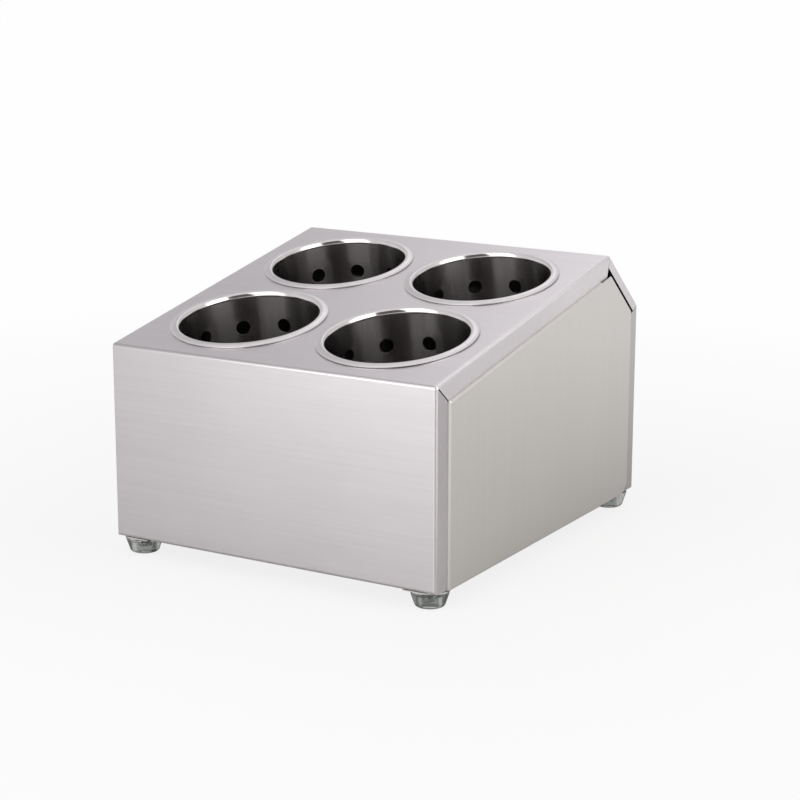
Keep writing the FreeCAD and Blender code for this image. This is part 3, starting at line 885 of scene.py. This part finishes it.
@dataclass
class CupSet:
    """Four perforated cups, modelled once upright and copied into their mouths."""

    bore: float = 98.197 * MM
    wall: float = 0.8 * MM
    depth: float = 132.0 * MM
    lip_radius: float = 2.4 * MM
    lip_depth: float = 3.9 * MM
    rim_height: float = 2.0 * MM
    rim_edge_height: float = 0.8 * MM
    rim_diameter: float = 112.297 * MM
    arc_steps: int = 9
    columns: int = 10
    rows: int = 4
    first_row: float = 24.0 * MM
    last_row: float = 24.0 * MM
    hole: float = 10.5 * MM
    cell_faces: int = 12
    drains: int = 8
    drain_circle: float = 58.0 * MM
    broken_edge: float = 0.16 * MM
    # painted shade: the wall's steel is given a much darker tone than the rim of the same sheet, standing in
    # for the shade inside the cups; its drawing lines are real
    wall_finish: PolishedSteel = PolishedSteel(
        "cup_drawn_steel_painted_shade", (0.34, 0.322, 0.315, 1), (0.297, 0.28, 0.274, 1), 0.24, CUP_TILT, 0.98)
    rim_finish: PolishedSteel = PolishedSteel(
        "cup_rim_polish", (0.70, 0.68, 0.68, 1), (0.62, 0.60, 0.60, 1), 0.14, CUP_TILT, satin=0.22)
    seats: tuple[CupSeat, ...] = (
        CupSeat(End.FRONT, Side.LEFT, 6.5, 0.15 * MM),
        CupSeat(End.FRONT, Side.RIGHT, 6.0, 0.6 * MM),
        CupSeat(End.REAR, Side.LEFT, 17.5, 0.15 * MM),
        CupSeat(End.REAR, Side.RIGHT, 0.0, 0.15 * MM),
    )

    @property
    def row_pitch(self) -> float:
        """The distance from one row of holes to the next."""
        return (self.depth - self.first_row - self.last_row) / (self.rows - 1)

    @property
    def column_pitch(self) -> float:
        """The distance from one hole to the next round the bore."""
        return math.pi * self.bore / self.columns

    def perforated_cell(self) -> bpy.types.Object:
        """Models one upright rectangle of the wall with a round hole in its middle.

        Returns:
            The cell, centred on the origin and facing the front.
        """
        faces = self.cell_faces
        bpy.ops.mesh.primitive_grid_add(x_subdivisions=faces, y_subdivisions=faces, size=1,
                                        rotation=(math.pi / 2, 0, 0))
        bpy.context.active_object.scale = (self.column_pitch, self.row_pitch, 1)
        cell = named_active("cup_wall")
        half = (self.column_pitch / 4 + MERGE_DISTANCE, self.row_pitch / 4 + MERGE_DISTANCE)

        def is_middle(point: Vector) -> bool:
            """Whether a point lies in the middle quarter."""
            return abs(point.x) < half[0] and abs(point.z) < half[1]

        with EditMode(cell) as edit:
            edit.choose(Element.FACE, lambda face: is_middle(face.calc_center_median()))
            bpy.ops.mesh.delete(type="FACE")
            edit.choose(Element.EDGE,
                        lambda edge: edge.is_boundary and all(is_middle(v.co) for v in edge.verts))
            square = (2 * self.hole / self.column_pitch, 1, 2 * self.hole / self.row_pitch)
            bpy.ops.transform.resize(value=square)
            bpy.ops.transform.tosphere(value=1.0)
        nearest = min(v.co.length for v in cell.data.vertices)
        with EditMode(cell) as edit:
            edit.choose(Element.EDGE,
                        lambda edge: all(v.co.length < nearest + MERGE_DISTANCE for v in edge.verts))
            wider = self.hole / 2 / nearest
            bpy.ops.transform.resize(value=(wider, 1, wider))
        return cell

    def rim_profile(self) -> Profile:
        """The outline of the upper face of the rolled lip and the crowned rim.

        Returns:
            Radius and height pairs, from the bore outwards.
        """
        crest = self.bore / 2 + self.lip_radius
        fall = self.rim_height - self.rim_edge_height
        reach = self.rim_diameter / 2 - crest
        crown = (reach ** 2 + fall ** 2) / (2 * fall)
        lean = math.degrees(math.asin(reach / crown))
        deeper = self.lip_depth / self.lip_radius
        roll = arc((crest, -self.lip_radius), self.lip_radius, 180, 90, self.arc_steps)
        lip = [(radius, self.rim_height + height * deeper) for radius, height in roll]
        return lip + arc((crest, self.rim_height - crown), crown, 90, 90 - lean, self.arc_steps)[1:]

    def shell(self, undercut: float) -> bpy.types.Object:
        """Models the wall and rim of a cup.

        Args:
            undercut: How far the rim's lower edge is stepped back.

        Returns:
            The shell, upright, with its mouth's middle at the origin.
        """
        shell = self.perforated_cell()
        repeats = ((self.columns, (self.column_pitch, 0, 0)), (self.rows, (0, 0, self.row_pitch)))
        for count, offset in repeats:
            apply_modifier(shell, "ARRAY", count=count, use_relative_offset=False, use_constant_offset=True,
                           constant_offset_displace=offset, use_merge_vertices=True,
                           merge_threshold=MERGE_DISTANCE)
        shell.location = (-self.column_pitch * (self.columns - 1) / 2, 0, self.last_row - self.depth)
        settle(shell)
        radius = self.bore / 2
        top = self.row_pitch / 2 - self.first_row
        bottom = self.last_row - self.depth - self.row_pitch / 2
        apply_modifier(shell, "SIMPLE_DEFORM", deform_method="BEND", deform_axis="Z", angle=2 * math.pi)
        shell.location = (0, -radius, 0)
        settle(shell)
        with EditMode(shell) as edit:
            bpy.ops.mesh.select_all(action="SELECT")
            bpy.ops.mesh.remove_doubles(threshold=MERGE_DISTANCE)
            edit.choose_rings((radius, bottom))
            edit.follow([(radius, bottom), (radius, (bottom - self.depth) / 2), (radius, -self.depth)])
            edit.choose_rings((radius, top))
            edit.follow([(radius, top), (radius, top / 2)] + self.rim_profile())
        apply_modifier(shell, "SOLIDIFY", thickness=self.wall, offset=1.0, use_even_offset=True)
        (inner_radius, inner_height), (edge_radius, edge_height) = self.rim_profile()[-2:]
        back = Vector((edge_height - inner_height, inner_radius - edge_radius)).normalized() * self.wall
        with EditMode(shell) as edit:
            edit.choose_rings((edge_radius + back.x, edge_height + back.y), within=self.wall / 4)
            bpy.ops.mesh.bevel(offset=undercut, segments=2, profile=0.0)
        soften(shell, self.broken_edge)
        return shell

    def finish_shell(self, shell: bpy.types.Object, wall: bpy.types.Material,
                     rim: bpy.types.Material) -> None:
        """Gives a shell its drawn wall and its polished rim.

        Args:
            shell: The upright shell.
            wall: The wall's finish.
            rim: The finish of the lip and the rim.
        """
        for material in (wall, rim):
            shell.data.materials.append(material)
        lip_start = self.rim_height - self.lip_depth
        with EditMode(shell) as edit:
            edit.choose(Element.FACE, lambda face: face.calc_center_median().z > lip_start)
            shell.active_material_index = 1
            bpy.ops.object.material_slot_assign()

    def base(self) -> bpy.types.Object:
        """Models the perforated disc across the lower end of a cup.

        Returns:
            The disc, in the upright cup's place.
        """
        low = -self.depth - self.wall
        disc = rod(self.bore / 2 + self.wall, low, -self.depth, sides=self.columns * self.cell_faces)
        radius = self.drain_circle / 2
        angles = [math.pi / 2 + 2 * math.pi * drain / self.drains for drain in range(self.drains)]
        spots = [(0, 0)] + [(radius * math.cos(a), radius * math.sin(a)) for a in angles]
        cut(disc, [rod(self.hole / 2, low - self.wall, self.wall - self.depth, spot) for spot in spots])
        soften(disc, self.broken_edge)
        return disc

    def build(self, joints: dict[str, dict]) -> None:
        """Copies the modelled cup into the four mouths.

        Args:
            joints: The frame's joints by name.
        """
        wall, rim = self.wall_finish.material(), self.rim_finish.material()
        undercuts = sorted({seat.rim_undercut for seat in self.seats})
        shells = {undercut: self.shell(undercut) for undercut in undercuts}
        for shell in shells.values():
            self.finish_shell(shell, wall, rim)
        base = self.base()
        dress(base, wall)
        hole_to_back = math.pi / self.columns
        for seat in self.seats:
            cup = f"{seat.end.value}_{seat.side.value}_cup"
            shell = shells[seat.rim_undercut]
            axis = Vector(joints[f"{cup}_lift"]["axis"]).normalized()
            low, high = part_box(f"{cup}_base")
            mouth = (low + high) / 2 + axis * (self.depth + self.wall / 2)
            tilt = Matrix.Rotation(-math.atan2(axis.y, axis.z), 4, "X")
            for master, name, start in ((shell, "wall", hole_to_back), (base, "base", 0.0)):
                spin = Matrix.Rotation(math.radians(seat.turn) + start, 4, "Z")
                piece = placed_copy(master, f"{cup}_{name}_steel", Matrix.Translation(mouth) @ tilt @ spin)
                stand_in(piece, cup, f"{cup}_{name}")
        for master in (*shells.values(), base):
            bpy.data.objects.remove(master)


@dataclass
class FootSet:
    """Four clear feet with the screws, washers and nuts that hold them."""

    top_diameter: float = 28.0 * MM
    base_diameter: float = 20.0 * MM
    height: float = 12.0 * MM
    edge_radius: float = 1.6 * MM
    recess: float = 12.0 * MM
    recess_depth: float = 8.5 * MM
    hole: float = 5.4 * MM
    head: float = 9.5 * MM
    head_height: float = 3.0 * MM
    thread: float = 5.0 * MM
    thread_depth: float = 0.35 * MM
    thread_pitch: float = 0.8 * MM
    screw_end: float = 21.5 * MM
    screw_taper: float = 0.8
    screw_sides: int = 48
    drive: tuple[float, float, float] = (5.0 * MM, 1.2 * MM, 1.6 * MM)
    washer: float = 11.0 * MM
    washer_low: float = 13.6 * MM
    washer_high: float = 14.6 * MM
    washer_sides: int = 64
    nut_flats: float = 8.0 * MM
    nut_high: float = 18.6 * MM
    nut_chamfer: float = math.radians(30)
    barrel_margin: float = 1.02
    head_rounding: float = 1.2 * MM
    round_sides: int = 72
    foot_edge: float = 0.25 * MM
    screw_edge: float = 0.08 * MM
    washer_edge: float = 0.12 * MM
    nut_edge: float = 0.06 * MM
    plastic: CloudedFinish = CloudedFinish(
        "foot_clear_plastic", (0.65, 0.675, 0.65, 1), (0.58, 0.605, 0.58, 1), (0.15, 0.27),
        cloud_scale=160.0, cloud_detail=3.0, bump_strength=0.1, bump_depth=0.05 * MM,
        clearness=0.9, bending=1.46)
    plating: CloudedFinish = CloudedFinish(
        "fastener_plating", (0.50, 0.50, 0.51, 1), (0.36, 0.36, 0.37, 1), (0.22, 0.38),
        cloud_scale=900.0, cloud_detail=4.0, bump_strength=0.2, bump_depth=0.02 * MM, metallic=1.0)

    def foot(self) -> bpy.types.Object:
        """Models one tapered foot with its screw recess.

        Returns:
            The foot, standing on the origin.
        """
        outer, inner = self.top_diameter / 2, self.base_diameter / 2
        corners = [(self.hole / 2, self.height), (outer, self.height), (inner, 0), (self.recess / 2, 0),
                   (self.recess / 2, self.recess_depth), (self.hole / 2, self.recess_depth)]
        foot = lathe("foot", corners, self.round_sides, closed=True)
        with EditMode(foot) as edit:
            edit.choose_rings(corners[1], corners[2])
            bpy.ops.mesh.bevel(offset=self.edge_radius, segments=6)
        soften(foot, self.foot_edge, 3)
        return foot

    def screw(self) -> bpy.types.Object:
        """Models one pan head screw with a cross drive and a ridged thread.

        Returns:
            The screw, in its place above the origin.
        """
        seat = self.recess_depth
        low = seat - self.head_height
        radius = self.head / 2
        soft = self.head_rounding
        crest, root = self.thread / 2, self.thread / 2 - self.thread_depth
        profile = [(radius / 2, low)] + arc((radius - soft, low + soft), soft, -90, 0, 5)
        profile += [(radius, seat), (root, seat)]
        height = seat
        while height + self.thread_pitch < self.screw_end:
            for share, ridge in ((0.4, crest), (0.5, crest), (0.9, root)):
                profile.append((ridge, height + share * self.thread_pitch))
            height += self.thread_pitch
        profile.append((root * self.screw_taper, self.screw_end))
        screw = lathe("screw", profile, self.screw_sides)
        length, width, deep = self.drive
        slots = []
        for size in ((length, width), (width, length)):
            bpy.ops.mesh.primitive_cube_add(size=1, location=(0, 0, low))
            bpy.context.active_object.scale = (*size, 2 * deep)
            slots.append(named_active("slot"))
        cut(screw, slots)
        soften(screw, self.screw_edge, 1)
        return screw

    def washer_ring(self) -> bpy.types.Object:
        """Models one washer with broken edges.

        Returns:
            The washer, in its place above the origin.
        """
        inner, outer = self.hole / 2, self.washer / 2
        corners = [(inner, self.washer_high), (outer, self.washer_high), (outer, self.washer_low),
                   (inner, self.washer_low)]
        ring = lathe("washer", corners, self.washer_sides, closed=True)
        soften(ring, self.washer_edge)
        return ring

    def nut(self) -> bpy.types.Object:
        """Models one six sided nut with chamfered corners.

        Returns:
            The nut, in its place above the origin.
        """
        flat = self.nut_flats / 2
        corner = self.nut_flats / math.sqrt(3)
        slope = (corner - flat) * math.tan(self.nut_chamfer)
        nut = rod(corner, self.washer_high, self.nut_high, sides=6)
        wide = corner * self.barrel_margin
        profile = [(flat, self.washer_high), (wide, self.washer_high + slope), (wide, self.nut_high - slope),
                   (flat, self.nut_high)]
        barrel = lathe("barrel", profile, self.round_sides)
        cut(nut, [barrel], Cut.SHARED)
        cut(nut, [rod(self.thread / 2, self.washer_low, self.screw_end)])
        soften(nut, self.nut_edge, 1)
        return nut

    def build(self) -> None:
        """Copies the modelled foot and fasteners to the four corners."""
        clear, plated = self.plastic.material(), self.plating.material()
        foot = self.foot()
        spots = []
        for end, side in product(End, Side):
            node = f"{end.value}_{side.value}_foot"
            low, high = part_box(node)
            middle = (low + high) / 2
            spots.append(Matrix.Translation((middle.x, middle.y, 0)))
            piece = placed_copy(foot, f"{node}_moulding", spots[-1])
            dress(piece, clear)
            stand_in(piece, STAND, node)
        bpy.data.objects.remove(foot)
        for kind, master in (("screw", self.screw()), ("washer", self.washer_ring()), ("nut", self.nut())):
            copies = [placed_copy(master, f"{kind}_copy", spot) for spot in spots]
            bpy.data.objects.remove(master)
            group = joined(f"foot_{kind}_set", copies)
            dress(group, plated)
            stand_in(group, STAND, f"foot_{kind}s")


@dataclass(frozen=True)
class Softbox:
    """A large diffuse lamp that faces a point above the holder's middle."""

    name: str
    place: tuple[float, float, float]
    facing_height: float
    size: tuple[float, float]
    brightness: float


@dataclass
class Studio:
    """The floor, the soft light and the camera."""

    floor_size: float = 60.0
    floor_finish: PaleFloor = PaleFloor(
        "studio_floor", (0.47, 0.465, 0.46, 1), footprint=(0.1325, 0.1525), fade=(0.0, 0.70),
        seen_white=(0.84, 0.985), mirrored_white=(0.0, 0.70))
    softboxes: tuple[Softbox, ...] = (
        Softbox("left_softbox", (-0.10, -0.79, 0.84), 0.84, (0.68, 1.4), 2.2),
        Softbox("right_softbox", (0.80, -0.145, 0.90), 0.90, (0.63, 1.4), 2.3),
    )
    low_tones: tuple[tuple[float, Colour], ...] = (
        (-180.0, (0.74, 0.73, 0.74, 1)),
        (-130.0, (0.74, 0.73, 0.74, 1)),
        (-80.0, (0.88, 0.87, 0.88, 1)),
        (5.0, (0.92, 0.91, 0.92, 1)),
        (12.0, CAMERA_GAP),
        (68.0, CAMERA_GAP),
        (75.0, (0.95, 0.94, 0.92, 1)),
        (130.0, (0.76, 0.75, 0.74, 1)),
        (180.0, (0.74, 0.73, 0.74, 1)),
    )
    high_tones: tuple[tuple[float, Colour], ...] = (
        (-180.0, (0.76, 0.75, 0.77, 1)),
        (-170.0, (0.76, 0.75, 0.77, 1)),
        (-160.0, (1.60, 1.57, 1.64, 1)),
        (-152.5, (1.60, 1.57, 1.64, 1)),
        (-138.5, (0.36, 0.35, 0.37, 1)),
        (-125.0, (0.56, 0.55, 0.57, 1)),
        (-100.0, (0.78, 0.77, 0.79, 1)),
        (-70.0, (0.80, 0.79, 0.80, 1)),
        (5.0, (0.90, 0.89, 0.90, 1)),
        (12.0, CAMERA_GAP),
        (68.0, CAMERA_GAP),
        (75.0, (0.95, 0.94, 0.92, 1)),
        (128.0, (0.90, 0.88, 0.86, 1)),
        (180.0, (0.76, 0.75, 0.77, 1)),
    )
    rise: tuple[float, float] = (0.36, 0.56)
    ceiling_tone: Colour = (0.95, 0.94, 0.95, 1)
    ceiling_rise: tuple[float, float] = (0.70, 0.86)
    aim: tuple[float, float, float] = (12.77 * MM, 0.0, 98.05 * MM)
    azimuth: float = 30.651
    elevation: float = 13.561
    roll: float = 0.102
    distance: float = 1565.4 * MM
    lens: float = 96.72
    sensor: float = 36.0

    def build_floor(self) -> None:
        """Lays the floor that the holder stands on."""
        bpy.ops.mesh.primitive_plane_add(size=self.floor_size)
        floor = named_active("studio_floor")
        dress(floor, self.floor_finish.material())

    def build_light(self) -> None:
        """Hangs the softboxes and makes the room round them."""
        for box in self.softboxes:
            bpy.ops.object.light_add(type="AREA", location=box.place)
            lamp = bpy.context.active_object
            lamp.name = box.name
            away = Vector(box.place) - Vector((0, 0, box.facing_height))
            lamp.rotation_euler = away.to_track_quat("Z", "Y").to_euler()
            lamp.visible_camera = False
            lamp.data.shape = "RECTANGLE"
            lamp.data.size, lamp.data.size_y = box.size
            lamp.data.energy = box.brightness * math.pi * box.size[0] * box.size[1]
        self.build_room()

    @staticmethod
    def tones_round(board: NodeBoard, turn: bpy.types.NodeSocket,
                    tones: tuple[tuple[float, Colour], ...]) -> bpy.types.NodeSocket:
        """Colours that change round the room.

        Args:
            board: The world's nodes.
            turn: The azimuth, from 0 to 1 once round.
            tones: Azimuths in degrees, each with its colour.

        Returns:
            The colour's socket.
        """
        ramp = board.add("ValToRGB", {0: turn})
        steps = ramp.color_ramp.elements
        while len(steps) < len(tones):
            steps.new(0.5)
        for step, (angle, tone) in zip(steps, tones):
            step.position = angle / 360 + 0.5
            step.color = tone
        return ramp.outputs[0]

    def build_room(self) -> None:
        """Surrounds the holder with a pale room that is dark where the camera looks in."""
        world = bpy.data.worlds.new("studio_room")
        bpy.context.scene.world = world
        world.use_nodes = True
        board = NodeBoard(world.node_tree)
        way = board.add("SeparateXYZ", {0: board.add("TexCoord").outputs["Generated"]}).outputs
        azimuth = board.math("ARCTAN2", way["X"], board.math("MULTIPLY", way["Y"], -1.0))
        turn = board.spread(azimuth, (-math.pi, math.pi), (0.0, 1.0))
        low, high = (self.tones_round(board, turn, tones) for tones in (self.low_tones, self.high_tones))
        tone = board.blend(board.spread(way["Z"], self.rise, (0.0, 1.0)), low, high)
        tone = board.blend(board.spread(way["Z"], self.ceiling_rise, (0.0, 1.0)), tone, self.ceiling_tone)
        room = board.add("Background", {"Color": tone, "Strength": 1.0})
        board.add("OutputWorld", {"Surface": room.outputs[0]})

    def build_camera(self) -> None:
        """Places the camera at the photograph's angle."""
        side, up = math.radians(self.azimuth), math.radians(self.elevation)
        towards = Vector((math.sin(side) * math.cos(up), -math.cos(side) * math.cos(up), math.sin(up)))
        bpy.ops.object.camera_add(location=Vector(self.aim) + towards * self.distance)
        camera = bpy.context.active_object
        camera.name = "camera"
        turn = towards.to_track_quat("Z", "Y").to_matrix() @ Matrix.Rotation(math.radians(self.roll), 3, "Z")
        camera.rotation_euler = turn.to_euler()
        camera.data.lens = self.lens
        camera.data.sensor_width = self.sensor
        bpy.context.scene.camera = camera

    def build(self) -> None:
        """Builds the studio."""
        bpy.context.scene.view_settings.view_transform = "Standard"
        self.build_floor()
        self.build_light()
        self.build_camera()
        log.info("studio ready")


def main() -> None:
    """Dresses the frame, models the pieces that need more detail and sets up the studio."""
    logging.basicConfig(level=logging.INFO, format="%(message)s")
    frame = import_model()
    Housing().build(frame["nodes"])
    CupSet().build({joint["name"]: joint for joint in frame["joints"]})
    FootSet().build()
    Studio().build()


if __name__ == "__main__":
    main()
